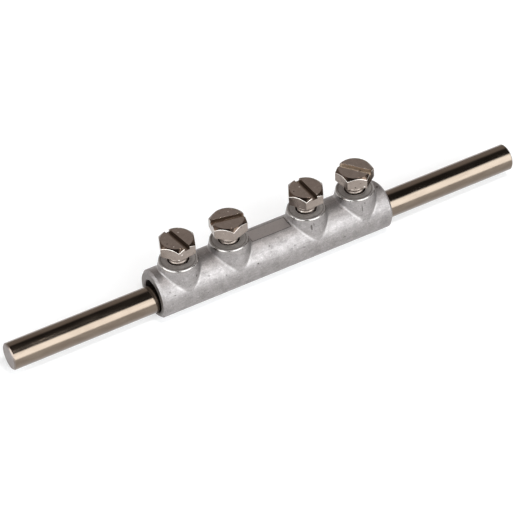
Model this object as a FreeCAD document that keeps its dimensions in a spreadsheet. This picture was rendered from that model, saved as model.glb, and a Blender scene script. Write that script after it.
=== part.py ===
import FreeCAD, Part
import os
import Sketcher

# Connecting sleeve for round conductor rods.
# A cast barrel lies along X with the axis of its bore on the X axis and its middle at the origin.
# Four drafted bosses stand on the barrel and point up (+Z). Each holds a slotted hexagon screw
# whose tip presses one of the two rods against the floor of the bore.

doc = FreeCAD.newDocument("ConnectingSleeve")

# Driving sizes in millimetres and degrees, in the order in which the pieces are made
sheet = doc.addObject("Spreadsheet::Sheet", "Sizes")
sizes = [
    ("rodDiameter", 8.0),
    ("boreClearance", 1.8),        # the bore is this much wider than the rods
    ("floorWall", 1.5),            # barrel's wall under the rods
    ("crestWall", 3.1),            # its wall on top, which holds the threads
    ("sleeveLength", 75.0),        # end face to end face
    ("endBevel", 0.7),             # outer edge of both end faces
    ("mouthBevel", 0.3),           # inner edge of both end faces
    ("endMargin", 8.7),            # from an end face to the axis of the nearest boss
    ("pairPitch", 16.2),           # between the two bosses of one rod
    ("bossRise", 2.2),             # finished face of a boss above the crest of the barrel
    ("bossTopDiameter", 11.1),     # sharp corner of the cast boss, before it is rounded
    ("bossFootRise", 1.2),         # height over the barrel's axis where the draft runs out
    ("bossFootInset", 0.06),       # how far the foot of a boss stays inside the barrel's side
    ("bossRimRound", 0.8),         # cast round on the rim of a boss
    ("facingAllowance", 0.2),      # what facing then takes off the top of a boss
    ("bossRootRound", 0.6),        # fillet between boss and barrel
    ("recessDepth", 0.34),         # flat recess on the crest, between the middle bosses
    ("recessWidth", 4.3),
    ("recessMargin", 0.15),        # from the end of the recess to the cone of a boss
    ("threadDiameter", 6.0),       # screws, over the thread
    ("threadClearance", 0.05),     # radial, between screw and tapped hole
    ("tapBevel", 0.15),            # countersunk mouth of a tapped hole
    ("screwLength", 10.6),         # under the head to the tip
    ("tipBevel", 0.5),             # bevelled end of the shank
    ("tipGap", 0.03),              # between a screw's tip and the rod that it holds
    ("acrossFlats", 9.8),          # hexagon head
    ("headHeight", 3.75),
    ("headCrown", 9.2),            # diameter of the flat top inside the head's bevel
    ("crownAngle", 44.0),          # slope of that bevel
    ("slotWidth", 1.7),
    ("slotDepth", 1.1),
    ("cutPast", 1.0),              # how far the crown and slot cuts run past the head's corners
    ("screwTurn1", 8.1),           # each head as the spanner left it, counted from the left
    ("screwTurn2", 78.6),
    ("screwTurn3", 2.1),
    ("screwTurn4", 37.8),
    ("rodFloorGap", 0.03),         # under a rod, between it and the floor of the bore
    ("rodMiddleGap", 2.0),         # between the two rods inside the sleeve
    ("leftRodFree", 44.8),         # what stands out of the sleeve
    ("rightRodFree", 43.7),
    ("rodBevel", 0.4),
]
for row, (name, value) in enumerate(sizes, start=1):
    sheet.set(f"A{row}", name)
    sheet.set(f"B{row}", str(value))
    sheet.setAlias(f"B{row}", name)
doc.recompute()

# Lengths that follow from the driving sizes
halfLength = "(Sizes.sleeveLength / 2)"
rodRadius = "(Sizes.rodDiameter / 2)"
boreRadius = f"({rodRadius} + Sizes.boreClearance / 2)"
barrelRadius = f"({boreRadius} + (Sizes.crestWall + Sizes.floorWall) / 2)"
barrelRise = "((Sizes.crestWall - Sizes.floorWall) / 2)"
crestHeight = f"({boreRadius} + Sizes.crestWall)"
outerPlace = f"({halfLength} - Sizes.endMargin)"
innerPlace = f"({outerPlace} - Sizes.pairPitch)"
bossFace = f"({crestHeight} + Sizes.bossRise)"
castFace = f"({bossFace} + Sizes.facingAllowance)"
footHeight = f"({barrelRise} + Sizes.bossFootRise)"
footRadius = f"(sqrt({barrelRadius}^2 - Sizes.bossFootRise^2) - Sizes.bossFootInset)"
topRadius = "(Sizes.bossTopDiameter / 2)"
bossSlope = f"(({footRadius} - {topRadius}) / ({castFace} - {footHeight}))"
bossAtCrest = f"({topRadius} + {bossSlope} * ({castFace} - {crestHeight}))"
tapRadius = "(Sizes.threadDiameter / 2 + Sizes.threadClearance)"
bossAtRecess = f"({bossAtCrest} + {bossSlope} * Sizes.recessDepth)"
recessLength = f"(2 * ({innerPlace} - {bossAtRecess} - Sizes.recessMargin))"
headCorner = "(Sizes.acrossFlats / sqrt(3))"
headFlat = "(Sizes.acrossFlats / 2)"
crownRadius = "(Sizes.headCrown / 2)"
crownReach = f"({headCorner} + Sizes.cutPast)"
crownFoot = f"(Sizes.headHeight - ({crownReach} - {crownRadius}) * tan(Sizes.crownAngle))"
rodHeight = f"({rodRadius} - {boreRadius} + Sizes.rodFloorGap)"
rodInside = f"({halfLength} - Sizes.rodMiddleGap / 2)"
headSeat = f"({rodHeight} + {rodRadius} + Sizes.tipGap + Sizes.screwLength)"

# A root fillet takes at most this share of the plain crest beside a boss
landShare = 0.4
middleLand = f"(2 * ({innerPlace} - {bossAtCrest}))"
pairLand = f"(Sizes.pairPitch - 2 * {bossAtCrest})"
endLand = f"(Sizes.endMargin - {bossAtCrest} - Sizes.endBevel)"
narrowestLand = f"min({middleLand}; {pairLand}; {endLand})"
rootRound = f"min(Sizes.bossRootRound; {landShare} * {narrowestLand})"

# How closely an edge must match the size by which it is picked
near = 0.001


def valueOf(expression):
    """What an expression on the sizes comes to at present."""
    result = sheet.evalExpression(expression)
    return float(getattr(result, "Value", result))


def originPart(body, role):
    """One of the planes or axes that belong to a body's own origin."""
    for feature in body.Origin.OriginFeatures:
        if feature.Role == role:
            return feature
    raise ValueError(role)


def newBody(name):
    body = doc.addObject("PartDesign::Body", name)
    body.Label = name
    return body


def newSketch(body, name, plane, shiftAxis=None, shift="0"):
    """A sketch on an origin plane, moved along its own x, y or z by a bound length."""
    sketch = body.newObject("Sketcher::SketchObject", name)
    sketch.AttachmentSupport = [(originPart(body, plane), "")]
    sketch.MapMode = "FlatFace"
    if shiftAxis:
        sketch.setExpression(f"AttachmentOffset.Base.{shiftAxis}", shift)
    return sketch


def bindPoint(sketch, geometry, vertex, place):
    """Hold a point at a place whose two coordinates are expressions, or None for on the axis."""
    horizontalAxis, verticalAxis = -1, -2
    for kind, axis, expression in zip(("DistanceX", "DistanceY"), (verticalAxis, horizontalAxis), place):
        if expression is None:
            sketch.addConstraint(Sketcher.Constraint("PointOnObject", geometry, vertex, axis))
            continue
        distance = Sketcher.Constraint(kind, -1, 1, geometry, vertex, valueOf(expression))
        index = sketch.addConstraint(distance)
        sketch.setExpression(f"Constraints[{index}]", expression)


def pointAt(place):
    """Where a bound point starts out, so that the solver has nothing left to guess."""
    x, y = (0 if expression is None else valueOf(expression) for expression in place)
    return FreeCAD.Vector(x, y, 0)


def addCircle(sketch, radius, centre=(None, None)):
    upright = FreeCAD.Vector(0, 0, 1)
    circle = sketch.addGeometry(Part.Circle(pointAt(centre), upright, valueOf(radius)), False)
    middleVertex = 3
    bindPoint(sketch, circle, middleVertex, centre)
    index = sketch.addConstraint(Sketcher.Constraint("Radius", circle, valueOf(radius)))
    sketch.setExpression(f"Constraints[{index}]", radius)


def addOutline(sketch, corners):
    """A closed outline of straight lines through bound corners."""
    points = [pointAt(corner) for corner in corners]
    lines = []
    for start, end in zip(points, points[1:] + points[:1]):
        lines.append(sketch.addGeometry(Part.LineSegment(start, end), False))
    for first, second in zip(lines, lines[1:] + lines[:1]):
        sketch.addConstraint(Sketcher.Constraint("Coincident", first, 2, second, 1))
    for line, corner in zip(lines, corners):
        bindPoint(sketch, line, 1, corner)


def addRectangle(sketch, width, height):
    """A rectangle centred on the sketch's origin."""
    right, top = f"({width} / 2)", f"({height} / 2)"
    left, bottom = f"(-1 * {right})", f"(-1 * {top})"
    addOutline(sketch, [(left, bottom), (right, bottom), (right, top), (left, top)])


def pad(body, name, sketch, length, midplane=False, backwards=False):
    feature = body.newObject("PartDesign::Pad", name)
    feature.Profile = sketch
    feature.setExpression("Length", length)
    feature.Midplane = midplane
    feature.Reversed = backwards
    doc.recompute()
    return feature


def turn(body, kind, name, sketch):
    """Turn a profile once round the upright axis of its own sketch, as Revolution or Groove."""
    feature = body.newObject(f"PartDesign::{kind}", name)
    feature.Profile = sketch
    feature.ReferenceAxis = (sketch, ["V_Axis"])
    feature.Angle = 360
    doc.recompute()
    return feature


def pocket(body, name, sketch, depth, midplane=False):
    """Cut a sketch into the body. It must take material away."""
    doc.recompute()
    before = body.Shape.Volume
    feature = body.newObject("PartDesign::Pocket", name)
    feature.Profile = sketch
    feature.setExpression("Length", depth)
    feature.Midplane = midplane
    doc.recompute()
    if body.Shape.Volume >= before:
        raise RuntimeError(f"{name} takes nothing away")
    return feature


def circlesAt(feature, radius, axis, place):
    """Names of the round edges of one radius that lie at one distance from the origin."""
    found = []
    for number, edge in enumerate(feature.Shape.Edges, start=1):
        if not isinstance(edge.Curve, Part.Circle):
            continue
        distance = abs(getattr(edge.Curve.Center, axis))
        if abs(edge.Curve.Radius - valueOf(radius)) < near and abs(distance - valueOf(place)) < near:
            found.append(f"Edge{number}")
    return found


def freeFormEdges(feature):
    """Names of the edges that are neither straight nor round: where one curved form meets another."""
    edges = enumerate(feature.Shape.Edges, start=1)
    return [f"Edge{number}" for number, edge in edges if not isinstance(edge.Curve, (Part.Circle, Part.Line))]


def dressEdges(body, kind, name, base, edgeNames, amount):
    """Round (Fillet) or bevel (Chamfer) the named edges of the feature before."""
    feature = body.newObject(f"PartDesign::{kind}", name)
    feature.Base = (base, edgeNames)
    feature.setExpression("Radius" if kind == "Fillet" else "Size", amount)
    doc.recompute()
    return feature


def makeSleeve():
    """The cast sleeve: eccentric barrel, four bosses, bore, tapped holes and the crest recess."""
    body = newBody("sleeve")
    barrel = newSketch(body, "BarrelSection", "YZ_Plane")
    addCircle(barrel, barrelRadius, (None, barrelRise))
    pad(body, "Barrel", barrel, "Sizes.sleeveLength", midplane=True)

    # One boss is turned about its own upright axis, then repeated along the rod and across the middle
    profile = newSketch(body, "BossProfile", "XZ_Plane", "x", innerPlace)
    addOutline(profile, [
        (None, footHeight),
        (footRadius, footHeight),
        (topRadius, castFace),
        (None, castFace),
    ])
    boss = turn(body, "Revolution", "Boss", profile)
    bosses = body.newObject("PartDesign::MultiTransform", "Bosses")
    bosses.Originals = [boss]
    pair = body.newObject("PartDesign::LinearPattern", "BossPair")
    pair.Direction = (originPart(body, "X_Axis"), [""])
    pair.setExpression("Length", "Sizes.pairPitch")
    pair.Occurrences = 2
    halves = body.newObject("PartDesign::Mirrored", "BossHalves")
    halves.MirrorPlane = (originPart(body, "YZ_Plane"), [""])
    bosses.Transformations = [pair, halves]
    body.Tip = bosses
    doc.recompute()

    # The rims are rounded and the roots blended as cast. Facing then leaves a crisp edge on top.
    rimEdges = circlesAt(bosses, topRadius, "z", castFace)
    rims = dressEdges(body, "Fillet", "BossRims", bosses, rimEdges, "Sizes.bossRimRound")
    roots = dressEdges(body, "Fillet", "BossRoots", rims, freeFormEdges(rims), rootRound)
    endEdges = circlesAt(roots, barrelRadius, "x", halfLength)
    dressEdges(body, "Chamfer", "EndBevels", roots, endEdges, "Sizes.endBevel")
    facing = newSketch(body, "FacingStrip", "XY_Plane", "z", castFace)
    addRectangle(facing, "Sizes.sleeveLength", f"(2 * {barrelRadius})")
    pocket(body, "BossFaces", facing, "Sizes.facingAllowance")

    boreSection = newSketch(body, "BoreSection", "YZ_Plane")
    addCircle(boreSection, boreRadius)
    bore = pocket(body, "Bore", boreSection, "Sizes.sleeveLength", midplane=True)
    mouthEdges = circlesAt(bore, boreRadius, "x", halfLength)
    dressEdges(body, "Chamfer", "BoreMouths", bore, mouthEdges, "Sizes.mouthBevel")

    # The tapped holes run from the flat faces down into the bore
    holes = newSketch(body, "TappedHoleCentres", "XY_Plane", "z", bossFace)
    for place in (innerPlace, outerPlace):
        addCircle(holes, tapRadius, (place, None))
        addCircle(holes, tapRadius, (f"(-1 * {place})", None))
    tapped = pocket(body, "TappedHoles", holes, bossFace)
    tapEdges = circlesAt(tapped, tapRadius, "z", bossFace)
    dressEdges(body, "Chamfer", "TapMouths", tapped, tapEdges, "Sizes.tapBevel")

    recess = newSketch(body, "RecessOutline", "XY_Plane", "z", crestHeight)
    addRectangle(recess, recessLength, "Sizes.recessWidth")
    pocket(body, "CrestRecess", recess, "Sizes.recessDepth")
    return body


def makeScrew(number):
    """A slotted hexagon screw. Its own origin is on its axis, under the head."""
    body = newBody(f"clamp_screw_{number}")

    # Two corners of the hexagon lie on the screw's own x axis, and the slot runs across its flats
    hexagon = newSketch(body, f"HeadOutline{number}", "XY_Plane")
    halfCorner = f"({headCorner} / 2)"
    addOutline(hexagon, [
        (headCorner, None),
        (halfCorner, headFlat),
        (f"(-1 * {halfCorner})", headFlat),
        (f"(-1 * {headCorner})", None),
        (f"(-1 * {halfCorner})", f"(-1 * {headFlat})"),
        (halfCorner, f"(-1 * {headFlat})"),
    ])
    pad(body, f"Head{number}", hexagon, "Sizes.headHeight")

    # A turned groove takes the six corners off the top of the head
    crown = newSketch(body, f"CrownProfile{number}", "XZ_Plane")
    addOutline(crown, [
        (crownRadius, "Sizes.headHeight"),
        (crownReach, "Sizes.headHeight"),
        (crownReach, crownFoot),
    ])
    turn(body, "Groove", f"Crown{number}", crown)

    slot = newSketch(body, f"SlotOutline{number}", "XY_Plane", "z", "Sizes.headHeight")
    addRectangle(slot, "Sizes.slotWidth", f"(2 * {crownReach})")
    pocket(body, f"Slot{number}", slot, "Sizes.slotDepth")

    section = newSketch(body, f"ShankSection{number}", "XY_Plane")
    addCircle(section, "(Sizes.threadDiameter / 2)")
    shank = pad(body, f"Shank{number}", section, "Sizes.screwLength", backwards=True)
    tipEdges = circlesAt(shank, "Sizes.threadDiameter / 2", "z", "Sizes.screwLength")
    dressEdges(body, "Chamfer", f"Tip{number}", shank, tipEdges, "Sizes.tipBevel")
    return body


def makeRod(name, freeLength):
    """A round rod along its own x axis, from its inner end at the origin outwards."""
    body = newBody(name)
    section = newSketch(body, f"{name}_section", "YZ_Plane")
    addCircle(section, rodRadius)
    length = f"({rodInside} + {freeLength})"
    bar = pad(body, f"{name}_bar", section, length)
    endEdges = circlesAt(bar, rodRadius, "x", "0") + circlesAt(bar, rodRadius, "x", length)
    dressEdges(body, "Chamfer", f"{name}_bevels", bar, endEdges, "Sizes.rodBevel")
    return body


def place(body, angle, x, z):
    """Turn a finished body about the upright and put it where it belongs, all bound."""
    anyAngle = 1
    upright = FreeCAD.Vector(0, 0, 1)
    body.Placement = FreeCAD.Placement(FreeCAD.Vector(), FreeCAD.Rotation(upright, anyAngle))
    body.setExpression("Placement.Rotation.Angle", angle)
    body.setExpression("Placement.Base.x", x)
    body.setExpression("Placement.Base.z", z)


# The screws are counted from the left
screwPlaces = [f"-1 * {outerPlace}", f"-1 * {innerPlace}", innerPlace, outerPlace]
pieces = [makeSleeve()]
for number, along in enumerate(screwPlaces, start=1):
    screw = makeScrew(number)
    place(screw, f"Sizes.screwTurn{number}", along, headSeat)
    pieces.append(screw)
leftRod = makeRod("left_rod", "Sizes.leftRodFree")
place(leftRod, "180", "-1 * Sizes.rodMiddleGap / 2", rodHeight)
rightRod = makeRod("right_rod", "Sizes.rightRodFree")
place(rightRod, "0", "Sizes.rodMiddleGap / 2", rodHeight)
pieces += [leftRod, rightRod]
doc.recompute()

for thing in doc.Objects:
    if "Invalid" in thing.State or "Error" in thing.State:
        raise RuntimeError(f"{thing.Label} failed: {thing.State}")
os.makedirs("parts", exist_ok=True)
for piece in pieces:
    shape = piece.Shape
    if shape.isNull() or not shape.isValid() or len(shape.Solids) != 1:
        raise RuntimeError(f"{piece.Label} has no single valid solid")
    shape.exportStep(f"parts/{piece.Label}.step")
    box = shape.optimalBoundingBox()
    print(f"{piece.Label}: {shape.Volume:.1f} mm3, x {box.XMin:.2f} to {box.XMax:.2f}, "
          f"y {box.YMin:.2f} to {box.YMax:.2f}, z {box.ZMin:.2f} to {box.ZMax:.2f}")
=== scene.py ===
import math
import bmesh
import bpy
from mathutils import Matrix, Vector


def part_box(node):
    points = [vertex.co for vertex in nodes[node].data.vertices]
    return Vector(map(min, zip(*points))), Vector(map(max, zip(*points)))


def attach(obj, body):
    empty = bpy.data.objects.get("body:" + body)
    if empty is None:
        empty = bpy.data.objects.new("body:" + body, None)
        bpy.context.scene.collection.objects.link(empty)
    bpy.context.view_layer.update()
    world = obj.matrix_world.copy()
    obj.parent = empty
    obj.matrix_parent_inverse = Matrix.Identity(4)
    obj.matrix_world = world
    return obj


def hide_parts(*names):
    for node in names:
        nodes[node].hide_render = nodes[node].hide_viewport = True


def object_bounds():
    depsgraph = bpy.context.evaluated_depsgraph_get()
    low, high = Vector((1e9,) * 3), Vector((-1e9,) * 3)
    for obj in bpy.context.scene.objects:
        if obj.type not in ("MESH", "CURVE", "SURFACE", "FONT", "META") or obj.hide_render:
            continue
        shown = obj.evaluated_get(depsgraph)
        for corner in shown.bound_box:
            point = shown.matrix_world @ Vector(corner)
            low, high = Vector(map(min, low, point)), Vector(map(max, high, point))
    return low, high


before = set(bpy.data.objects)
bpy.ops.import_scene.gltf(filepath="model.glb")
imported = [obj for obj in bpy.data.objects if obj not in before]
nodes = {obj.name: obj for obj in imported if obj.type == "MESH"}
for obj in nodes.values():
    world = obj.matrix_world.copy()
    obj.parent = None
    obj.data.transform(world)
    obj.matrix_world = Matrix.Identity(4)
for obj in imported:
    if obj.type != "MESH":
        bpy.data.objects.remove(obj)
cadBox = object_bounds()
scene = bpy.context.scene
mm = 0.001
sharpFrom = math.radians(30)   # edges that turn more than this stay sharp


# small helpers for node trees
def newNode(tree, kind, label=None, **settings):
    node = tree.nodes.new(kind)
    if label:
        node.label = label
    for name, value in settings.items():
        setattr(node, name, value)
    return node


def feed(tree, source, socket):
    # source is an output socket or a plain value
    if isinstance(source, bpy.types.NodeSocket):
        tree.links.new(source, socket)
    else:
        socket.default_value = source


def mathNode(tree, operation, first, second=0.0, clamp=False):
    node = newNode(tree, "ShaderNodeMath", operation=operation, use_clamp=clamp)
    feed(tree, first, node.inputs[0])
    feed(tree, second, node.inputs[1])
    return node.outputs[0]


def splitVector(tree, vector):
    # the X, Y and Z outputs of a vector
    node = newNode(tree, "ShaderNodeSeparateXYZ")
    feed(tree, vector, node.inputs[0])
    return node.outputs


def lengthOf(tree, first, second):
    # distance that two offsets at right angles make
    square = mathNode(tree, "ADD", mathNode(tree, "MULTIPLY", first, first),
                      mathNode(tree, "MULTIPLY", second, second))
    return mathNode(tree, "SQRT", square)


def remap(tree, value, fromLow, fromHigh, toLow=0.0, toHigh=1.0, soft=False):
    node = newNode(tree, "ShaderNodeMapRange", clamp=True)
    node.interpolation_type = "SMOOTHSTEP" if soft else "LINEAR"
    feed(tree, value, node.inputs["Value"])
    limits = {"From Min": fromLow, "From Max": fromHigh, "To Min": toLow, "To Max": toHigh}
    for name, number in limits.items():
        feed(tree, number, node.inputs[name])
    return node.outputs["Result"]


def mixColor(tree, amount, first, second, blend="MIX"):
    node = newNode(tree, "ShaderNodeMix", data_type="RGBA", blend_type=blend)
    feed(tree, amount, node.inputs["Factor"])
    feed(tree, first, node.inputs[6])
    feed(tree, second, node.inputs[7])
    return node.outputs[2]


def noise(tree, vector, scale, detail=4.0, roughness=0.55):
    node = newNode(tree, "ShaderNodeTexNoise")
    feed(tree, vector, node.inputs["Vector"])
    node.inputs["Scale"].default_value = scale
    node.inputs["Detail"].default_value = detail
    node.inputs["Roughness"].default_value = roughness
    return node.outputs["Fac"]


def stretched(tree, vector, scale, turn=(0, 0, 0)):
    node = newNode(tree, "ShaderNodeMapping")
    feed(tree, vector, node.inputs["Vector"])
    node.inputs["Rotation"].default_value = turn
    node.inputs["Scale"].default_value = scale
    return node.outputs["Vector"]


def newGroup(name, inputs, outputs):
    # inputs are (name, socket type, default), outputs are (name, socket type)
    group = bpy.data.node_groups.new(name, "ShaderNodeTree")
    for socketName, kind, default in inputs:
        socket = group.interface.new_socket(name=socketName, in_out="INPUT", socket_type=kind)
        if default is not None:
            socket.default_value = default
    for socketName, kind in outputs:
        group.interface.new_socket(name=socketName, in_out="OUTPUT", socket_type=kind)
    entry = newNode(group, "NodeGroupInput")
    leave = newNode(group, "NodeGroupOutput")
    return group, entry, leave


def useGroup(tree, group, **values):
    node = newNode(tree, "ShaderNodeGroup")
    node.node_tree = group
    for name, value in values.items():
        feed(tree, value, node.inputs[name])
    return node


floatSocket, vectorSocket = "NodeSocketFloat", "NodeSocketVector"


def makeCastGrain():
    # the soft orange-peel skin of a die casting: a mottled tone and the height that goes with it
    group, entry, leave = newGroup(
        "castGrain",
        [("Vector", vectorSocket, None), ("Scale", floatSocket, 1.0)],
        [("Tone", floatSocket), ("Height", floatSocket),
         ("Dark", floatSocket), ("Bright", floatSocket)])
    place = newNode(group, "ShaderNodeVectorMath", operation="SCALE")
    feed(group, entry.outputs["Vector"], place.inputs[0])
    feed(group, entry.outputs["Scale"], place.inputs["Scale"])
    where = place.outputs[0]
    coarse = noise(group, where, scale=0.35, detail=4.0, roughness=0.6)
    fine = noise(group, where, scale=3.4, detail=4.0, roughness=0.7)
    drawnOut = stretched(group, where, (0.22, 1.0, 1.0))
    flow = noise(group, drawnOut, scale=1.5, detail=4.0, roughness=0.65)
    cloud = mathNode(group, "ADD", mathNode(group, "MULTIPLY", coarse, 0.35),
                     mathNode(group, "MULTIPLY", fine, 0.42))
    tone = mathNode(group, "ADD", cloud, mathNode(group, "MULTIPLY", flow, 0.23))
    feed(group, remap(group, tone, 0.38, 0.62), leave.inputs["Tone"])
    specks = noise(group, where, scale=1.5, detail=3.0, roughness=0.7)
    feed(group, remap(group, specks, 0.59, 0.70), leave.inputs["Dark"])
    feed(group, remap(group, specks, 0.41, 0.31), leave.inputs["Bright"])
    height = mathNode(group, "ADD", mathNode(group, "MULTIPLY", fine, 0.35), coarse)
    height = mathNode(group, "SUBTRACT", height, mathNode(group, "MULTIPLY", specks, 0.25))
    feed(group, height, leave.inputs["Height"])
    return group


def makeHandlingMarks():
    # hair-fine scratches in one main direction, broken up so that they come and go
    group, entry, leave = newGroup(
        "handlingMarks",
        [("Vector", vectorSocket, None), ("Along", vectorSocket, None),
         ("Amount", floatSocket, 0.5)],
        [("Mask", floatSocket), ("Height", floatSocket)])
    squeeze = newNode(group, "ShaderNodeVectorMath", operation="MULTIPLY")
    feed(group, entry.outputs["Vector"], squeeze.inputs[0])
    feed(group, entry.outputs["Along"], squeeze.inputs[1])
    lines = noise(group, squeeze.outputs[0], scale=1.0, detail=3.0, roughness=0.65)
    patches = noise(group, entry.outputs["Vector"], scale=0.5, detail=2.0, roughness=0.5)
    thin = remap(group, lines, 0.60, 0.70)
    broken = mathNode(group, "MULTIPLY", thin, remap(group, patches, 0.40, 0.62))
    mask = mathNode(group, "MULTIPLY", broken, entry.outputs["Amount"], clamp=True)
    feed(group, mask, leave.inputs["Mask"])
    height = mathNode(group, "SUBTRACT", lines, mathNode(group, "MULTIPLY", mask, 0.6))
    feed(group, height, leave.inputs["Height"])
    return group


def makeEdgeWear():
    # bright along convex edges, where the rounded normal leaves the face's own
    group, entry, leave = newGroup(
        "edgeWear",
        [("Radius", floatSocket, 0.2 * mm), ("Vector", vectorSocket, None),
         ("Breakup", floatSocket, 0.5)],
        [("Mask", floatSocket), ("Normal", vectorSocket)])
    bevel = newNode(group, "ShaderNodeBevel", samples=6)
    feed(group, entry.outputs["Radius"], bevel.inputs["Radius"])
    surface = newNode(group, "ShaderNodeNewGeometry")
    lean = newNode(group, "ShaderNodeVectorMath", operation="DOT_PRODUCT")
    feed(group, bevel.outputs["Normal"], lean.inputs[0])
    feed(group, surface.outputs["Normal"], lean.inputs[1])
    edge = remap(group, lean.outputs["Value"], 0.97, 0.80)
    patchy = noise(group, entry.outputs["Vector"], scale=1.4, detail=4.0, roughness=0.6)
    lost = mathNode(group, "MULTIPLY", entry.outputs["Breakup"], remap(group, patchy, 0.35, 0.65))
    kept = mathNode(group, "SUBTRACT", 1.0, lost)
    feed(group, mathNode(group, "MULTIPLY", edge, kept, clamp=True), leave.inputs["Mask"])
    feed(group, bevel.outputs["Normal"], leave.inputs["Normal"])
    return group


def makePits():
    # scattered small dents; Density is the share of cells that have one
    group, entry, leave = newGroup(
        "pits",
        [("Vector", vectorSocket, None), ("Density", floatSocket, 0.35),
         ("Size", floatSocket, 0.2)],
        [("Mask", floatSocket), ("Shade", floatSocket)])
    cells = newNode(group, "ShaderNodeTexVoronoi")
    cells.inputs["Scale"].default_value = 0.8
    feed(group, entry.outputs["Vector"], cells.inputs["Vector"])
    wobble = noise(group, entry.outputs["Vector"], scale=3.0, detail=2.0, roughness=0.5)
    split = newNode(group, "ShaderNodeSeparateColor")
    feed(group, cells.outputs["Color"], split.inputs[0])
    reach = mathNode(group, "MULTIPLY", entry.outputs["Size"], mathNode(group, "ADD", wobble, 0.3))
    away = mathNode(group, "DIVIDE", cells.outputs["Distance"], reach)
    near = mathNode(group, "SUBTRACT", 1.0, away, clamp=True)
    near = mathNode(group, "MULTIPLY", near, 2.0, clamp=True)
    chosen = mathNode(group, "LESS_THAN", split.outputs[0], entry.outputs["Density"])
    feed(group, mathNode(group, "MULTIPLY", near, chosen), leave.inputs["Mask"])
    feed(group, split.outputs[1], leave.inputs["Shade"])
    return group


def makeGrime():
    # dirt and painted shade where a corner is closed in: thread roots, slots, the recess's border
    group, entry, leave = newGroup(
        "grime",
        [("Reach", floatSocket, 0.5 * mm), ("Vector", vectorSocket, None)],
        [("Mask", floatSocket)])
    shade = newNode(group, "ShaderNodeAmbientOcclusion", samples=6)
    feed(group, entry.outputs["Reach"], shade.inputs["Distance"])
    closed = remap(group, shade.outputs["AO"], 0.80, 0.30)
    patchy = noise(group, entry.outputs["Vector"], scale=1.8, detail=4.0, roughness=0.6)
    breakUp = remap(group, patchy, 0.3, 0.7, 0.55, 1.0)
    feed(group, mathNode(group, "MULTIPLY", closed, breakUp), leave.inputs["Mask"])
    return group


# the boss axes stand at plus and minus middle, plus and minus half
bossRow = {"middle": 20.7, "half": 8.1}


def makeAxisPlace():
    # where a point is on its boss or screw: distance from the nearest axis, and height
    group, entry, leave = newGroup(
        "axisPlace",
        [("Vector", vectorSocket, None)],
        [("Radius", floatSocket), ("Height", floatSocket)])
    place = splitVector(group, entry.outputs["Vector"])
    fromMiddle = mathNode(group, "ABSOLUTE", place["X"])
    fromPair = mathNode(group, "ABSOLUTE", mathNode(group, "SUBTRACT", fromMiddle, bossRow["middle"]))
    aside = mathNode(group, "SUBTRACT", fromPair, bossRow["half"])
    feed(group, lengthOf(group, aside, place["Y"]), leave.inputs["Radius"])
    feed(group, place["Z"], leave.inputs["Height"])
    return group


castGrain = makeCastGrain()
handlingMarks = makeHandlingMarks()
edgeWear = makeEdgeWear()
pits = makePits()
grime = makeGrime()
axisPlace = makeAxisPlace()
print("shared effects made")


def band(tree, value, low, high, edge):
    # 1 between low and high, soft over edge at both ends
    rising = remap(tree, value, low - edge, low + edge)
    falling = remap(tree, value, high + edge, high - edge)
    return mathNode(tree, "MULTIPLY", rising, falling)


def blendNumber(tree, amount, first, second):
    node = newNode(tree, "ShaderNodeMix", data_type="FLOAT")
    feed(tree, amount, node.inputs["Factor"])
    feed(tree, first, node.inputs[2])
    feed(tree, second, node.inputs[3])
    return node.outputs[0]


def layered(tree, tone, layers):
    # lays each color over the tone in turn, as strongly as its mask times its weight
    for mask, weight, color in layers:
        tone = mixColor(tree, mathNode(tree, "MULTIPLY", mask, weight), tone, color)
    return tone


def newMaterial(name):
    material = bpy.data.materials.new(name)
    material.use_nodes = True
    tree = material.node_tree
    tree.nodes.clear()
    output = newNode(tree, "ShaderNodeOutputMaterial")
    shader = newNode(tree, "ShaderNodeBsdfPrincipled")
    tree.links.new(shader.outputs[0], output.inputs["Surface"])
    return material, tree, shader


def placeInMillimetres(tree):
    # object coordinates, so that a pattern is given in marks per millimetre
    coordinates = newNode(tree, "ShaderNodeTexCoord")
    scaled = newNode(tree, "ShaderNodeVectorMath", operation="SCALE")
    feed(tree, coordinates.outputs["Object"], scaled.inputs[0])
    scaled.inputs["Scale"].default_value = 1 / mm
    return scaled.outputs[0]


def addBump(tree, shader, height, distance, strength=1.0, normal=None):
    bump = newNode(tree, "ShaderNodeBump")
    bump.inputs["Strength"].default_value = strength
    bump.inputs["Distance"].default_value = distance
    feed(tree, height, bump.inputs["Height"])
    if normal is not None:
        feed(tree, normal, bump.inputs["Normal"])
    feed(tree, bump.outputs["Normal"], shader.inputs["Normal"])


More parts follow.
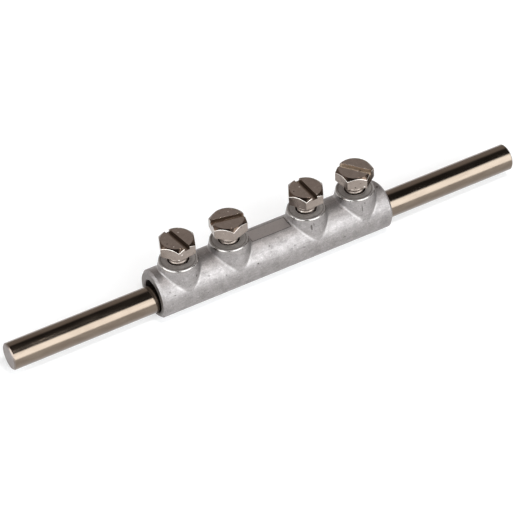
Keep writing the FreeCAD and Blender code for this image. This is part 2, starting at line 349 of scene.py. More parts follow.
# the sleeve: satin cast aluminium
castLook = {
    "paleTone": (0.345, 0.322, 0.313, 1),
    "deepTone": (0.215, 0.199, 0.193, 1),
    "speckTone": (0.13, 0.118, 0.112, 1),
    "brightSpeck": (0.58, 0.55, 0.53, 1),
    "rubbedTone": (0.60, 0.57, 0.55, 1),
    "rootHighlightTone": (0.62, 0.59, 0.57, 1),     # painted highlight: a thin bright line where a boss meets the barrel
    "facedTone": (0.50, 0.475, 0.455, 1),  # faces of the bosses, turned flat
    "facedDeep": (0.33, 0.31, 0.295, 1),
    "ringReflectionTone": (0.12, 0.105, 0.095, 1),   # painted dark reflection: a ring just inside the rim
    "mouthHighlightTone": (0.90, 0.86, 0.83, 1),    # painted highlight on the countersunk mouth of a tapped hole
    "holeTone": (0.11, 0.092, 0.078, 1),   # tapped wall, oily and in shade
    "holeRadius": 3.08,
    "holeSoft": 0.02,
    "recessTone": (0.47, 0.437, 0.423, 1),
    "recessLine": (0.06, 0.052, 0.048, 1),  # painted shade in the corner round the field
    "endTone": (0.20, 0.185, 0.175, 1),
    "rimTone": (0.30, 0.28, 0.265, 1),
    "grimeAndShadeTone": (0.09, 0.08, 0.072, 1),
    "scarTone": (0.085, 0.075, 0.068, 1),
    "roughLow": 0.44,
    "roughHigh": 0.58,
    "rimRough": 0.20,
    "facedRough": 0.60,
    "grainDepth": 0.09 * mm,
    "grainStrength": 0.8,
    "scarDepth": 1.5,         # times the grain's depth
    "rimSoftness": 0.06 * mm,
    "dirtAndShadeReach": 0.55 * mm,
    "dentDensity": 0.10,
    "dentSize": 0.26,
    "darkWeight": 0.25,       # how strongly each mark covers the metal
    "brightWeight": 0.3,
    "markWeight": 0.6,
    "scratchWeight": 0.7,
    "dentWeight": 0.7,
    "ringReflectionWeight": 0.8,
    "scarWeight": 0.85,
    "lineWeight": 0.7,
    "rootHighlightWeight": 0.25,
    "rimFrom": 9.35,          # heights on the bosses, in millimetres
    "rimTo": 9.75,
    "facedFrom": 10.17,
    "facedTo": 10.19,
    "ringRise": (10.0, 10.1),
    "mouthRise": (9.95, 10.05),
    "ringFrom": 4.78,         # radii on the bosses
    "ringTo": 4.98,
    "ringSoft": 0.1,
    "mouthFrom": 3.04,
    "mouthTo": 3.24,
    "mouthSoft": 0.03,
    "endLean": (0.90, 0.98),  # how squarely an end face looks along the barrel
    "endBelow": (7.9, 7.6),   # height under which that counts
    "bossFoot": 7.14,         # radius of a boss at the foot's height, and what it loses per millimetre
    "bossFootHeight": 2.0,
    "bossDraft": 0.194,
    "barrelRadius": 7.2,
    "barrelHeight": 0.8,
    "rootReach": 0.40,
    "rootCore": 0.3,          # share of the reach in which the painted highlight is full
    "rootFrom": 3.3,          # heights over which the painted highlight comes in
    "rootTo": 4.3,
    "recessHalf": (6.2, 2.15),
    "recessSoft": 0.05,
    "recessRise": (6.9, 7.2),
    "recessBorder": 0.17,
    "scarRagged": 0.9,
    "scarEdge": (1.5, 1.1),
}
# small casting scars: x, y, z of the middle, then half width along x, half depth and half height
scars = [
    (-26.17, -5.62, 6.78, 0.35, 0.8, 0.35),
    (10.95, -5.80, 7.60, 0.30, 0.9, 1.05),
    (11.70, -5.90, 8.35, 0.16, 0.9, 0.55),
    (27.65, -5.95, 7.35, 0.17, 0.9, 1.25),
    (28.60, -5.85, 8.75, 0.15, 0.9, 0.40),
    (35.88, -0.62, 7.97, 0.42, 0.5, 0.5),
    (-7.2, -6.6, 3.2, 0.30, 0.8, 0.25),
    (20.9, -7.0, 0.6, 0.55, 0.8, 0.18),
]


def addScars(tree, where):
    # each scar is a ragged little ellipsoid; the strongest one at a point counts
    ragged = noise(tree, where, scale=2.6, detail=2.0, roughness=0.6)
    ragged = mathNode(tree, "MULTIPLY", ragged, castLook["scarRagged"])
    total = None
    for x, y, z, *size in scars:
        offset = newNode(tree, "ShaderNodeVectorMath", operation="SUBTRACT")
        feed(tree, where, offset.inputs[0])
        offset.inputs[1].default_value = (x, y, z)
        scaled = newNode(tree, "ShaderNodeVectorMath", operation="DIVIDE")
        feed(tree, offset.outputs[0], scaled.inputs[0])
        scaled.inputs[1].default_value = size
        length = newNode(tree, "ShaderNodeVectorMath", operation="LENGTH")
        feed(tree, scaled.outputs[0], length.inputs[0])
        reach = mathNode(tree, "ADD", length.outputs["Value"], ragged)
        mask = remap(tree, reach, *castLook["scarEdge"])
        total = mask if total is None else mathNode(tree, "MAXIMUM", total, mask)
    return total


def addRootLine(tree, spot, where):
    # painted highlight, close to the boss's cone and to the barrel at once
    look = castLook
    place = splitVector(tree, where)
    overFoot = mathNode(tree, "SUBTRACT", spot.outputs["Height"], look["bossFootHeight"])
    cone = mathNode(tree, "MULTIPLY", overFoot, -look["bossDraft"])
    cone = mathNode(tree, "ADD", cone, look["bossFoot"])
    fromBoss = mathNode(tree, "ABSOLUTE", mathNode(tree, "SUBTRACT", spot.outputs["Radius"], cone))
    rise = mathNode(tree, "SUBTRACT", place["Z"], look["barrelHeight"])
    fromAxis = lengthOf(tree, rise, place["Y"])
    fromBarrel = mathNode(tree, "ABSOLUTE", mathNode(tree, "SUBTRACT", fromAxis, look["barrelRadius"]))
    apart = mathNode(tree, "ADD", fromBoss, fromBarrel)
    line = remap(tree, apart, look["rootReach"], look["rootReach"] * look["rootCore"])
    return mathNode(tree, "MULTIPLY", line, remap(tree, place["Z"], look["rootFrom"], look["rootTo"]))


def addRecess(tree, where):
    # the shallow field on the crest, and the line of painted shade round it
    look = castLook
    place = splitVector(tree, where)
    onCrest = remap(tree, place["Z"], *look["recessRise"])
    soft = look["recessSoft"]
    fields = []
    for grow in (0, look["recessBorder"]):
        masks = []
        for axis, half in zip(("X", "Y"), look["recessHalf"]):
            aside = mathNode(tree, "ABSOLUTE", place[axis])
            masks.append(remap(tree, aside, half + grow + soft, half + grow - soft))
        fields.append(mathNode(tree, "MULTIPLY", mathNode(tree, "MULTIPLY", *masks), onCrest))
    line = mathNode(tree, "SUBTRACT", fields[1], fields[0], clamp=True)
    return fields[0], line


def makeCastAluminium():
    look = castLook
    material, tree, shader = newMaterial("castAluminium")
    where = placeInMillimetres(tree)
    grain = useGroup(tree, castGrain, Vector=where, Scale=1.0)
    marks = useGroup(tree, handlingMarks, Vector=where, Along=(0.5, 7.0, 7.0), Amount=0.7)
    slanted = stretched(tree, where, (1.0, 1.0, 1.0), (0.5, 0.3, 0.7))
    scratches = useGroup(tree, handlingMarks, Vector=slanted, Along=(0.4, 5.0, 5.0), Amount=0.8)
    wear = useGroup(tree, edgeWear, Radius=look["rimSoftness"], Vector=where, Breakup=0.4)
    dents = useGroup(tree, pits, Vector=where, Density=look["dentDensity"], Size=look["dentSize"])
    dirt = useGroup(tree, grime, Reach=look["dirtAndShadeReach"], Vector=where)
    spot = useGroup(tree, axisPlace, Vector=where)
    radius, height = spot.outputs["Radius"], spot.outputs["Height"]
    rim = remap(tree, height, look["rimFrom"], look["rimTo"])
    faced = remap(tree, height, look["facedFrom"], look["facedTo"])
    ring = mathNode(tree, "MULTIPLY", remap(tree, height, *look["ringRise"]),
                    band(tree, radius, look["ringFrom"], look["ringTo"], look["ringSoft"]))
    mouth = mathNode(tree, "MULTIPLY", remap(tree, height, *look["mouthRise"]),
                     band(tree, radius, look["mouthFrom"], look["mouthTo"], look["mouthSoft"]))
    inHole = remap(tree, radius, look["holeRadius"] + look["holeSoft"],
                   look["holeRadius"] - look["holeSoft"])
    hole = mathNode(tree, "MULTIPLY", inHole, remap(tree, height, *reversed(look["mouthRise"])))
    surface = newNode(tree, "ShaderNodeNewGeometry")
    facing = splitVector(tree, surface.outputs["Normal"])
    endFace = remap(tree, mathNode(tree, "ABSOLUTE", facing["X"]), *look["endLean"])
    endFace = mathNode(tree, "MULTIPLY", endFace, remap(tree, height, *look["endBelow"]))
    recess, recessLine = addRecess(tree, where)
    scar = addScars(tree, where)

    tone = mixColor(tree, grain.outputs["Tone"], look["deepTone"], look["paleTone"])
    faceTone = mixColor(tree, grain.outputs["Tone"], look["facedDeep"], look["facedTone"])
    tone = layered(tree, tone, (
        (recess, 1, look["recessTone"]),
        # painted shade round the recess
        (recessLine, look["lineWeight"], look["recessLine"]),
        # painted highlight along the roots of the bosses
        (addRootLine(tree, spot, where), look["rootHighlightWeight"], look["rootHighlightTone"]),
        (rim, 1, look["rimTone"]),
        (faced, 1, faceTone),
        (endFace, 1, look["endTone"]),
        (grain.outputs["Dark"], look["darkWeight"], look["speckTone"]),
        (grain.outputs["Bright"], look["brightWeight"], look["brightSpeck"]),
        (marks.outputs["Mask"], look["markWeight"], look["deepTone"]),
        (scratches.outputs["Mask"], look["scratchWeight"], look["brightSpeck"]),
        (dents.outputs["Mask"], look["dentWeight"], look["speckTone"]),
        (wear.outputs["Mask"], 1, look["rubbedTone"]),
        # dirt and painted shade in closed corners
        (dirt.outputs["Mask"], 1, look["grimeAndShadeTone"]),
        # painted dark reflection inside the rims
        (ring, look["ringReflectionWeight"], look["ringReflectionTone"]),
        # painted highlight on the hole mouths
        (mouth, 1, look["mouthHighlightTone"]),
        (hole, 1, look["holeTone"]),
        (scar, look["scarWeight"], look["scarTone"]),
    ))
    feed(tree, tone, shader.inputs["Base Color"])

    rough = remap(tree, grain.outputs["Tone"], 0.0, 1.0, look["roughHigh"], look["roughLow"])
    rough = blendNumber(tree, rim, rough, look["rimRough"])
    rough = blendNumber(tree, faced, rough, look["facedRough"])
    feed(tree, rough, shader.inputs["Roughness"])
    shader.inputs["Metallic"].default_value = 1.0
    relief = mathNode(tree, "SUBTRACT", grain.outputs["Height"], dents.outputs["Mask"])
    relief = mathNode(tree, "SUBTRACT", relief, mathNode(tree, "MULTIPLY", scar, look["scarDepth"]))
    addBump(tree, shader, relief, look["grainDepth"], look["grainStrength"], wear.outputs["Normal"])
    return material


def meshFrom(bm, name):
    mesh = bpy.data.meshes.new(name)
    bm.to_mesh(mesh)
    bm.free()
    return mesh


def newObject(name, data):
    thing = bpy.data.objects.new(name, data)
    scene.collection.objects.link(thing)
    return thing


# the rods: drawn and polished steel
rodLook = {
    "steel": (0.195, 0.155, 0.121, 1),
    "smokyPatch": (0.168, 0.131, 0.101, 1),
    "darkLine": (0.12, 0.092, 0.070, 1),
    "cutFace": (0.20, 0.172, 0.160, 1),
    "roughLow": 0.11,
    "roughHigh": 0.15,
    "drawnRough": 0.04,       # what the drawing lines add
    "drawnSpread": 0.7,       # the lines spread light round the bar, hardly along it
    "lineWeight": 0.5,
    "endRough": 0.3,          # what the sawn end faces add
    "endLean": (0.5, 0.9),    # how squarely an end face looks along the bar
    "lacquer": 0.15,
    "lacquerRough": 0.12,
    "drawnDepth": 0.006 * mm,
    "diameter": 8.0,
    "endBevel": 0.4,
    "bevelParts": (0.12, 0.45, 0.8, 1.0),  # rings along the bevel, and how full it is
    "bevelCurve": 1.2,
    "steps": 128,             # round the bar, and along it
    "runs": 24,
}


def makeRodSteel():
    material, tree, shader = newMaterial("rodSteel")
    where = placeInMillimetres(tree)
    drawn = useGroup(tree, handlingMarks, Vector=where, Along=(0.05, 3.2, 3.2), Amount=0.8)
    drawnOut = stretched(tree, where, (0.25, 1.0, 1.0))
    cloud = noise(tree, drawnOut, scale=0.5, detail=3.0, roughness=0.5)
    surface = newNode(tree, "ShaderNodeNewGeometry")
    facing = splitVector(tree, surface.outputs["Normal"])
    endFace = remap(tree, mathNode(tree, "ABSOLUTE", facing["X"]), *rodLook["endLean"])
    tone = mixColor(tree, remap(tree, cloud, 0.4, 0.6), rodLook["smokyPatch"], rodLook["steel"])
    tone = layered(tree, tone, (
        (drawn.outputs["Mask"], rodLook["lineWeight"], rodLook["darkLine"]),
        (endFace, 1, rodLook["cutFace"]),
    ))
    feed(tree, tone, shader.inputs["Base Color"])
    rough = remap(tree, cloud, 0.35, 0.65, rodLook["roughLow"], rodLook["roughHigh"])
    for mask, gain in ((drawn.outputs["Mask"], rodLook["drawnRough"]), (endFace, rodLook["endRough"])):
        rough = mathNode(tree, "ADD", rough, mathNode(tree, "MULTIPLY", mask, gain))
    feed(tree, rough, shader.inputs["Roughness"])
    shader.inputs["Metallic"].default_value = 1.0
    shader.inputs["Coat Weight"].default_value = rodLook["lacquer"]
    shader.inputs["Coat Roughness"].default_value = rodLook["lacquerRough"]
    shader.inputs["Anisotropic"].default_value = rodLook["drawnSpread"]
    around = newNode(tree, "ShaderNodeTangent", direction_type="RADIAL", axis="X")
    feed(tree, around.outputs["Tangent"], shader.inputs["Tangent"])
    addBump(tree, shader, drawn.outputs["Height"], rodLook["drawnDepth"], 1.0)
    return material


def makeRod(nodeName):
    # a turned bar with bevelled ends, finer than the node it stands for
    low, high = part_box(nodeName)
    middle = (low + high) / 2
    radius = rodLook["diameter"] / 2 * mm
    bevel = rodLook["endBevel"] * mm
    start = [(low.x, radius - bevel)]
    for part in rodLook["bevelParts"]:
        start.append((low.x + bevel * part, radius - bevel * (1 - part) ** rodLook["bevelCurve"]))
    runs = rodLook["runs"]
    straight = high.x - low.x - 2 * bevel
    outline = start + [(low.x + bevel + straight * k / runs, radius) for k in range(1, runs)]
    outline += [(low.x + high.x - x, r) for x, r in reversed(start)]
    bm = bmesh.new()
    previous = None
    for x, r in outline:
        ring = []
        for k in range(rodLook["steps"]):
            angle = 2 * math.pi * k / rodLook["steps"]
            aside, up = r * math.cos(angle), r * math.sin(angle)
            ring.append(bm.verts.new((x, middle.y + aside, middle.z + up)))
        if previous:
            for i in range(len(ring)):
                j = (i + 1) % len(ring)
                bm.faces.new((previous[i], previous[j], ring[j], ring[i]))
        else:
            bm.faces.new(list(reversed(ring)))
        previous = ring
    bm.faces.new(previous)
    for face in bm.faces:
        face.smooth = True
    mesh = meshFrom(bm, nodeName + "_bar")
    mesh.set_sharp_from_angle(angle=sharpFrom)
    mesh.materials.append(rodSteel)
    rod = newObject(nodeName + "_bar", mesh)
    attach(rod, nodeName)
    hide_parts(nodeName)
    return rod


# the screws: plain pickled steel
screwLook = {
    "steel": (0.330, 0.280, 0.247, 1),
    "stain": (0.250, 0.207, 0.178, 1),
    "darkPit": (0.07, 0.055, 0.045, 1),
    # worn edge, with a painted highlight along it
    "wornEdgeAndHighlight": (0.80, 0.75, 0.70, 1),
    "brightPit": (0.72, 0.67, 0.62, 1),
    "coneReflectionTone": (0.110, 0.078, 0.059, 1),  # painted dark reflection on the bevel of the head
    # painted shade in the slots
    "slotShadeTone": (0.19, 0.14, 0.105, 1),
    "slotGlintTone": (0.74, 0.64, 0.54, 1),    # painted reflection in the last screw's slot
    "slotGlintFrom": 20.0,        # along the sleeve, between the third screw and the last
    "slotGlintTo": 21.0,
    "shankTop": 13.7,
    "shankSoft": 0.05,
    "shankRough": 0.48,
    "grimeAndShadeTone": (0.06, 0.045, 0.034, 1),
    "roughLow": 0.12,
    "roughHigh": 0.22,
    "edgeRough": 0.36,
    "slotRough": 0.34,
    "skinDepth": 0.008 * mm,
    "skinStrength": 0.8,
    "edgeSoftness": 0.05 * mm,
    "dirtAndShadeReach": 1.2 * mm,
    "dentDensity": 0.34,
    "dentSize": 0.30,
    "darkPitShare": 0.62,     # the other pits are bright
    "markWeight": 0.6,
    "shankSpared": 0.6,        # share of the dirt and painted shade that the shank doesn't take
    "headFrom": 14.6,         # heights: the head above its foot, the floor of the slot, the top
    "slotFloor": 16.41,
    "slotTop": 17.11,
    "coneSlope": (0.66, 0.88, 0.04),   # upward part of the normal: from, to, softness
    "edgeSlope": (0.10, 0.62, 0.05),
    "levelSlope": (0.88, 0.96),
    "uprightSlope": (0.3, 0.2),
    "wallReach": 4.8,         # the slot's walls stay inside this radius
    "zoneSoft": 0.1,
}


def addHeadZones(tree, where):
    # bevel cone with a painted dark reflection, worn edge over the flats with a painted highlight, and
    # slot with painted shade, told apart by height, radius and slope
    look = screwLook
    soft = look["zoneSoft"]
    spot = useGroup(tree, axisPlace, Vector=where)
    height = spot.outputs["Height"]
    surface = newNode(tree, "ShaderNodeNewGeometry")
    slope = splitVector(tree, surface.outputs["Normal"])["Z"]
    head = remap(tree, height, look["headFrom"], look["headFrom"] + soft)
    cone = mathNode(tree, "MULTIPLY", head, band(tree, slope, *look["coneSlope"]))
    edge = mathNode(tree, "MULTIPLY", head, band(tree, slope, *look["edgeSlope"]))
    level = remap(tree, slope, *look["levelSlope"])
    inSlot = band(tree, height, look["slotFloor"], look["slotTop"], soft)
    floorZone = mathNode(tree, "MULTIPLY", level, inSlot)
    upright = remap(tree, mathNode(tree, "ABSOLUTE", slope), *look["uprightSlope"])
    inside = remap(tree, spot.outputs["Radius"], look["wallReach"], look["wallReach"] - soft)
    overFloor = remap(tree, height, look["slotFloor"] - soft, look["slotFloor"])
    wallZone = mathNode(tree, "MULTIPLY", mathNode(tree, "MULTIPLY", upright, inside), overFloor)
    return cone, edge, mathNode(tree, "MAXIMUM", floorZone, wallZone)


def makeScrewSteel():
    look = screwLook
    material, tree, shader = newMaterial("screwSteel")
    where = placeInMillimetres(tree)
    skin = useGroup(tree, castGrain, Vector=where, Scale=1.9)
    marks = useGroup(tree, handlingMarks, Vector=where, Along=(3.0, 1.2, 6.0), Amount=0.7)
    wear = useGroup(tree, edgeWear, Radius=look["edgeSoftness"], Vector=where, Breakup=0.35)
    dents = useGroup(tree, pits, Vector=where, Density=look["dentDensity"], Size=look["dentSize"])
    dirt = useGroup(tree, grime, Reach=look["dirtAndShadeReach"], Vector=where)
    cone, edge, slot = addHeadZones(tree, where)
    place = splitVector(tree, where)
    fresh = remap(tree, place["X"], look["slotGlintFrom"], look["slotGlintTo"])
    shank = remap(tree, place["Z"], look["shankTop"], look["shankTop"] - look["shankSoft"])
    cleaner = mathNode(tree, "MAXIMUM", mathNode(tree, "MULTIPLY", shank, look["shankSpared"]),
                       mathNode(tree, "MULTIPLY", slot, fresh))
    soiled = mathNode(tree, "MULTIPLY", dirt.outputs["Mask"], mathNode(tree, "SUBTRACT", 1.0, cleaner))
    patchy = noise(tree, where, scale=0.9, detail=3.0, roughness=0.6)
    chips = remap(tree, patchy, 0.35, 0.62, 1.0, 0.65)
    isBright = mathNode(tree, "GREATER_THAN", dents.outputs["Shade"], look["darkPitShare"])

    tone = mixColor(tree, skin.outputs["Tone"], look["stain"], look["steel"])
    tone = layered(tree, tone, (
        (marks.outputs["Mask"], look["markWeight"], look["brightPit"]),
        # painted dark reflection on the bevel cone
        (cone, 1, look["coneReflectionTone"]),
        # painted shade in the slots, a painted reflection in the last screw's
        (slot, 1, mixColor(tree, fresh, look["slotShadeTone"], look["slotGlintTone"])),
        (dents.outputs["Mask"], 1, mixColor(tree, isBright, look["darkPit"], look["brightPit"])),
        # dirt and painted shade in closed corners
        (soiled, 1, look["grimeAndShadeTone"]),
        # wear and a painted highlight on the edge over the flats
        (edge, chips, look["wornEdgeAndHighlight"]),
    ))
    feed(tree, tone, shader.inputs["Base Color"])

    rough = remap(tree, skin.outputs["Tone"], 0.0, 1.0, look["roughHigh"], look["roughLow"])
    rough = blendNumber(tree, edge, rough, look["edgeRough"])
    rough = blendNumber(tree, slot, rough, look["slotRough"])
    rough = blendNumber(tree, shank, rough, look["shankRough"])
    feed(tree, rough, shader.inputs["Roughness"])
    shader.inputs["Metallic"].default_value = 1.0
    relief = mathNode(tree, "SUBTRACT", skin.outputs["Height"], dents.outputs["Mask"])
    addBump(tree, shader, relief, look["skinDepth"], look["skinStrength"], wear.outputs["Normal"])
    return material


castAluminium = makeCastAluminium()
rodSteel = makeRodSteel()
screwSteel = makeScrewSteel()


def dress(nodeName, material):
    mesh = nodes[nodeName].data
    mesh.materials.clear()
    mesh.materials.append(material)


dress("sleeve", castAluminium)
rods = [makeRod(name) for name in ("left_rod", "right_rod")]
print("finishes made, sleeve dressed, rods turned:", len(rods))


# the screws' true form: slotted head with worn edges, thread on the shank
screwShape = {
    "acrossFlats": 9.8,
    "cornerRound": 0.16,      # radius that the corners were forged with
    "headHeight": 3.75,
    "crown": 9.2,
    "crownSlope": 44.0,
    "flatEdgeRound": 0.22,    # worn edge between a flat and the crown
    "crownEdgeRound": 0.10,
    "footRound": 0.1,         # under the flats
    "footShare": 0.3,
    "flatEdgeSteps": 4,
    "crownEdgeSteps": 3,
    "slotWidth": 1.7,
    "slotDepth": 1.1,
    "cutPast": 1.0,           # how far the slot's cutter stands over the head
    "cutReach": 1.5,          # its length, in widths across flats
    "majorDiameter": 6.0,
    "minorDiameter": 4.95,
    "pitch": 1.0,
    "rootFlat": 0.14,         # shares of the pitch that the root and the flanks take
    "flankSpan": 0.72,
    "softShare": 0.35,        # how far the flanks curve into the crest and the root
    "length": 10.6,
    "tipBevel": 0.5,
    "neckLength": 4.2,        # under the head the thread is rolled shallow, close to the core
    "neckFade": 0.8,
    "neckShare": 0.38,
    "headSink": 0.5,          # how far the shank stands inside the head
    "perTurn": 72,
    "rowsPerPitch": 10,
}
# degrees by which the spanner left each head turned
turns = {"clamp_screw_1": 8.1, "clamp_screw_2": 78.6, "clamp_screw_3": 2.1, "clamp_screw_4": 37.8}


def hexagonOutline(flat, cornerRound, arcSteps=5, sideSteps=8):
    # points round a hexagon with one corner on +X and small round corners
    points = []
    corner = flat / math.cos(math.radians(30))
    centreDistance = corner - cornerRound / math.cos(math.radians(30))
    for k in range(6):
        facing = math.radians(60 * k)
        centre = Vector((math.cos(facing), math.sin(facing))) * centreDistance
        for step in range(arcSteps):
            angle = facing + math.radians(-30 + 60 * step / (arcSteps - 1))
            points.append(centre + Vector((math.cos(angle), math.sin(angle))) * cornerRound)
        last = points[-1]
        nextFacing = math.radians(60 * (k + 1))
        nextCentre = Vector((math.cos(nextFacing), math.sin(nextFacing))) * centreDistance
        startAngle = nextFacing - math.radians(30)
        nextPoint = nextCentre + Vector((math.cos(startAngle), math.sin(startAngle))) * cornerRound
        for step in range(1, sideSteps):
            points.append(last.lerp(nextPoint, step / sideSteps))
    return points


def headProfile(reach):
    # (radius, height) up the side of the head where the flat stands at this reach from the axis
    shape = screwShape
    top, crown = shape["headHeight"], shape["crown"] / 2
    slope = math.tan(math.radians(shape["crownSlope"]))
    steep = math.hypot(1, slope)
    coneLean = math.atan2(1, slope)
    foot = shape["footRound"]
    small = foot * shape["footShare"]
    profile = [(reach - foot, 0.0), (reach - small, small), (reach, foot)]
    edge, steps = shape["flatEdgeRound"], shape["flatEdgeSteps"]
    middle = (reach - edge, top + slope * crown - slope * (reach - edge) - edge * steep)
    for step in range(steps + 1):
        lean = coneLean * step / steps
        profile.append((middle[0] + edge * math.cos(lean), middle[1] + edge * math.sin(lean)))
    edge, steps = shape["crownEdgeRound"], shape["crownEdgeSteps"]
    middle = (crown + edge * (1 - steep) / slope, top - edge)
    for step in range(steps + 1):
        lean = coneLean + (math.pi / 2 - coneLean) * step / steps
        profile.append((middle[0] + edge * math.cos(lean), middle[1] + edge * math.sin(lean)))
    return profile


def makeHead(name):
    outline = hexagonOutline(screwShape["acrossFlats"] / 2, screwShape["cornerRound"])
    bm = bmesh.new()
    columns = []
    for point in outline:
        facing = point.normalized()
        profile = headProfile(point.length)
        columns.append([bm.verts.new((facing.x * r, facing.y * r, z)) for r, z in profile])
    count, rows = len(columns), len(columns[0])
    for i in range(count):
        here, there = columns[i], columns[(i + 1) % count]
        for k in range(rows - 1):
            bm.faces.new((here[k], there[k], there[k + 1], here[k + 1]))
    bm.faces.new([column[0] for column in reversed(columns)])
    bm.faces.new([column[-1] for column in columns])
    return meshFrom(bm, name)


def makeSlotCutter(name):
    shape = screwShape
    bm = bmesh.new()
    bmesh.ops.create_cube(bm, size=1.0)
    deep = shape["slotDepth"] + shape["cutPast"]
    scale = Matrix.Diagonal((shape["slotWidth"], shape["acrossFlats"] * shape["cutReach"], deep, 1.0))
    lift = Matrix.Translation((0, 0, shape["headHeight"] + shape["cutPast"] - deep / 2))
    bmesh.ops.transform(bm, matrix=lift @ scale, verts=bm.verts)
    return meshFrom(bm, name)


def threadRadius(turnPart, z):
    # rolled thread: flat crest, sixty degree flanks and a soft root
    shape = screwShape
    phase = (z / shape["pitch"] - turnPart) % 1.0
    rise = min(max((abs(phase - 0.5) * 2 - shape["rootFlat"]) / shape["flankSpan"], 0.0), 1.0)
    soft = shape["softShare"]
    softened = rise * rise * (3 - 2 * rise) * soft + rise * (1 - soft)
    major, minor = shape["majorDiameter"] / 2, shape["minorDiameter"] / 2
    deep = min(max((-z - shape["neckLength"]) / shape["neckFade"], 0.0), 1.0)
    share = shape["neckShare"] + (1 - shape["neckShare"]) * deep
    return minor + (major - minor) * softened * share


def makeShank(name):
    shape = screwShape
    columns = shape["perTurn"]
    reach = shape["length"] + shape["headSink"]
    rows = round(reach / shape["pitch"] * shape["rowsPerPitch"])
    bm = bmesh.new()
    previous = None
    for row in range(rows + 1):
        z = shape["headSink"] - reach * row / rows
        fromTip = z + shape["length"]
        tipLimit = shape["majorDiameter"] / 2 - max(shape["tipBevel"] - fromTip, 0.0)
        ring = []
        for column in range(columns):
            angle = 2 * math.pi * column / columns
            radius = min(threadRadius(column / columns, z), tipLimit)
            ring.append(bm.verts.new((radius * math.cos(angle), radius * math.sin(angle), z)))
        if previous:
            for i in range(columns):
                j = (i + 1) % columns
                bm.faces.new((ring[i], ring[j], previous[j], previous[i]))
        else:
            bm.faces.new(ring)
        previous = ring
    bm.faces.new(list(reversed(previous)))
    return meshFrom(bm, name)


def makeScrew(nodeName):
    low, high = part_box(nodeName)
    axis = (low + high) / 2
    seat = high.z - screwShape["headHeight"] * mm
    head = newObject(nodeName + "_head_blank", makeHead(nodeName + "_head"))
    cutter = newObject(nodeName + "_slot_cutter", makeSlotCutter(nodeName + "_slot"))
    shank = newObject(nodeName + "_shank_blank", makeShank(nodeName + "_shank"))
    for other, operation in ((cutter, "DIFFERENCE"), (shank, "UNION")):
        step = head.modifiers.new(operation.lower(), "BOOLEAN")
        step.operation = operation
        step.object = other
        step.solver = "EXACT"
    bpy.context.view_layer.update()
    graph = bpy.context.evaluated_depsgraph_get()
    finished = bpy.data.meshes.new_from_object(head.evaluated_get(graph))
    for thing in (head, cutter, shank):
        bpy.data.objects.remove(thing)

    bm = bmesh.new()
    bm.from_mesh(finished)
    turn = Matrix.Rotation(math.radians(turns[nodeName]), 4, "Z")
    seatPlace = Matrix.Translation((axis.x, 0, seat)) @ turn @ Matrix.Scale(mm, 4)
    bmesh.ops.transform(bm, matrix=seatPlace, verts=bm.verts)
    for face in bm.faces:
        face.smooth = True
    mesh = meshFrom(bm, nodeName + "_true_form")
    mesh.set_sharp_from_angle(angle=sharpFrom)
    mesh.materials.append(screwSteel)
    screw = newObject(nodeName + "_threaded", mesh)
    even = screw.modifiers.new("even", "WEIGHTED_NORMAL")
    even.mode = "FACE_AREA"
    even.keep_sharp = True
    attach(screw, nodeName)
    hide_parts(nodeName)
    return screw


screws = [makeScrew(name) for name in turns]
print("screws made:", len(screws))


# floor, studio light and camera
studio = {
    "floorColor": (0.56, 0.56, 0.56, 1),
    "floorWhite": 0.48,       # what the seen floor gains over its lit tone, to read as white
    "floorRough": 0.9,
    "floorHalf": 3.0,         # metres from its middle to its side
    "floorGap": 0.02 * mm,    # under the lowest point of the part
    "ceiling": 0.05,          # dark ceiling over the table
    "backWall": 0.54,
    "frontWall": 0.20,
    "backWallTop": 51.0,      # degrees above the table
    "frontWallTop": 46.0,
    "topSoft": 8,             # degrees on either side of a wall's top
    "sideSoft": 0.15,         # where the front wall passes into the back one
    "wallColor": (1, 0.92, 0.885, 1),      # warm walls, and panels like daylight
    "panelColor": (0.95, 1.0, 1.035, 1),
}
# soft panels: azimuth from and to (0 at -Y, 90 at +X), height from and to,
# softness of the edge, strength
softPanels = {
    "right": (-14, 48, 0, 47, 5, 4.5),
    "left": (-116, -42, 0, 32, 5, 4.9),
}


def makeFloor():
    material, tree, shader = newMaterial("paleTable")
    shader.inputs["Base Color"].default_value = studio["floorColor"]
    shader.inputs["Roughness"].default_value = studio["floorRough"]
    output = tree.nodes["Material Output"]
    path = newNode(tree, "ShaderNodeLightPath")
    seen = mathNode(tree, "MAXIMUM", path.outputs["Is Camera Ray"], path.outputs["Is Glossy Ray"])
    seen = mathNode(tree, "MAXIMUM", seen, path.outputs["Is Transmission Ray"])
    glow = newNode(tree, "ShaderNodeEmission")
    feed(tree, mathNode(tree, "MULTIPLY", seen, studio["floorWhite"]), glow.inputs["Strength"])
    both = newNode(tree, "ShaderNodeAddShader")
    tree.links.new(shader.outputs[0], both.inputs[0])
    tree.links.new(glow.outputs[0], both.inputs[1])
    tree.links.new(both.outputs[0], output.inputs["Surface"])
    bm = bmesh.new()
    bmesh.ops.create_grid(bm, x_segments=1, y_segments=1, size=studio["floorHalf"])
    mesh = meshFrom(bm, "table")
    mesh.materials.append(material)
    floor = newObject("table", mesh)
    floor.location.z = cadBox[0].z - studio["floorGap"]


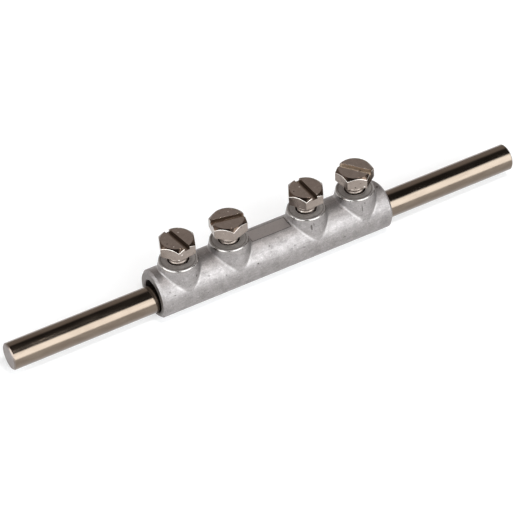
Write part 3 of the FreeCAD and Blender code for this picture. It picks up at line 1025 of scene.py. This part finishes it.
def makeWorld():
    # grey walls in front and behind, a dark ceiling, and a soft panel at each side of the camera
    world = bpy.data.worlds.new("studioRoom")
    scene.world = world
    world.use_nodes = True
    tree = world.node_tree
    background = tree.nodes["Background"]
    coordinates = newNode(tree, "ShaderNodeTexCoord")
    place = splitVector(tree, coordinates.outputs["Generated"])
    degrees = 180 / math.pi
    height = mathNode(tree, "MULTIPLY", mathNode(tree, "ARCSINE", place["Z"]), degrees)
    forward = mathNode(tree, "MULTIPLY", place["Y"], -1.0)
    heading = mathNode(tree, "MULTIPLY", mathNode(tree, "ARCTAN2", place["X"], forward), degrees)

    levels = []
    for wall in ("frontWall", "backWall"):
        low, high = studio[wall + "Top"] - studio["topSoft"], studio[wall + "Top"] + studio["topSoft"]
        levels.append(remap(tree, height, low, high, studio[wall], studio["ceiling"], soft=True))
    behind = remap(tree, place["Y"], -studio["sideSoft"], studio["sideSoft"], soft=True)
    level = blendNumber(tree, behind, *levels)
    panels = None
    for headingFrom, headingTo, heightFrom, heightTo, edge, strength in softPanels.values():
        sides = ((heading, headingFrom, 1), (heading, headingTo, -1),
                 (height, heightFrom, 1), (height, heightTo, -1))
        glow = strength
        for value, limit, direction in sides:
            step = remap(tree, value, limit - edge * direction, limit + edge * direction, soft=True)
            glow = mathNode(tree, "MULTIPLY", step, glow)
        panels = glow if panels is None else mathNode(tree, "ADD", panels, glow)
    total = mathNode(tree, "ADD", level, panels)
    feed(tree, total, background.inputs["Strength"])
    share = mathNode(tree, "DIVIDE", panels, total)
    color = mixColor(tree, share, studio["wallColor"], studio["panelColor"])
    feed(tree, color, background.inputs["Color"])


def directionTo(azimuth, height):
    # from the part towards a place given in degrees, 0 at -Y and 90 at +X
    a, e = math.radians(azimuth), math.radians(height)
    return Vector((math.sin(a) * math.cos(e), -math.cos(a) * math.cos(e), math.sin(e)))


# the key lamp: a small round softbox high over the front edge of the table
keyLamp = {
    "azimuth": 15,
    "height": 69,
    "distance": 2.0,          # metres, and so is its size
    "size": 0.26,
    "radiance": 92.0,
    "color": (1, 0.99, 0.98),
}


def makeKeyLamp():
    back = directionTo(keyLamp["azimuth"], keyLamp["height"])
    light = bpy.data.lights.new("keyLamp", "AREA")
    light.shape = "DISK"
    light.size = keyLamp["size"]
    light.energy = keyLamp["radiance"] * math.pi * math.pi * (keyLamp["size"] / 2) ** 2
    light.color = keyLamp["color"]
    lamp = newObject("keyLamp", light)
    lamp.location = back * keyLamp["distance"]
    lamp.rotation_mode = "QUATERNION"
    lamp.rotation_quaternion = (-back).to_track_quat("-Z", "Y")
    lamp.visible_camera = False


viewPoint = {
    "azimuth": -28.07,
    "elevation": 41.214,
    "roll": -2.601,
    "distance": 716.6,        # millimetres
    "shiftRight": -3.221,
    "shiftUp": -2.196,
    "lens": 175.66,
    "sensor": 36.0,
    "clip": (0.05, 20.0),     # metres
}


def makeCamera():
    back = directionTo(viewPoint["azimuth"], viewPoint["elevation"])
    azimuth = math.radians(viewPoint["azimuth"])
    right = Vector((math.cos(azimuth), math.sin(azimuth), 0))
    up = back.cross(right)
    roll = math.radians(viewPoint["roll"])
    rolledRight = right * math.cos(roll) + up * math.sin(roll)
    rolledUp = -right * math.sin(roll) + up * math.cos(roll)
    spot = back * viewPoint["distance"]
    spot = spot + rolledRight * viewPoint["shiftRight"] + rolledUp * viewPoint["shiftUp"]
    data = bpy.data.cameras.new("camera")
    data.lens = viewPoint["lens"]
    data.sensor_width = viewPoint["sensor"]
    data.clip_start, data.clip_end = viewPoint["clip"]
    camera = newObject("camera", data)
    camera.matrix_world = Matrix.Translation(spot * mm) @ Matrix((
        (rolledRight.x, rolledUp.x, back.x, 0),
        (rolledRight.y, rolledUp.y, back.y, 0),
        (rolledRight.z, rolledUp.z, back.z, 0),
        (0, 0, 0, 1)))
    scene.camera = camera


makeFloor()
makeWorld()
makeKeyLamp()
makeCamera()
scene.view_settings.view_transform = "Standard"
print("studio made")
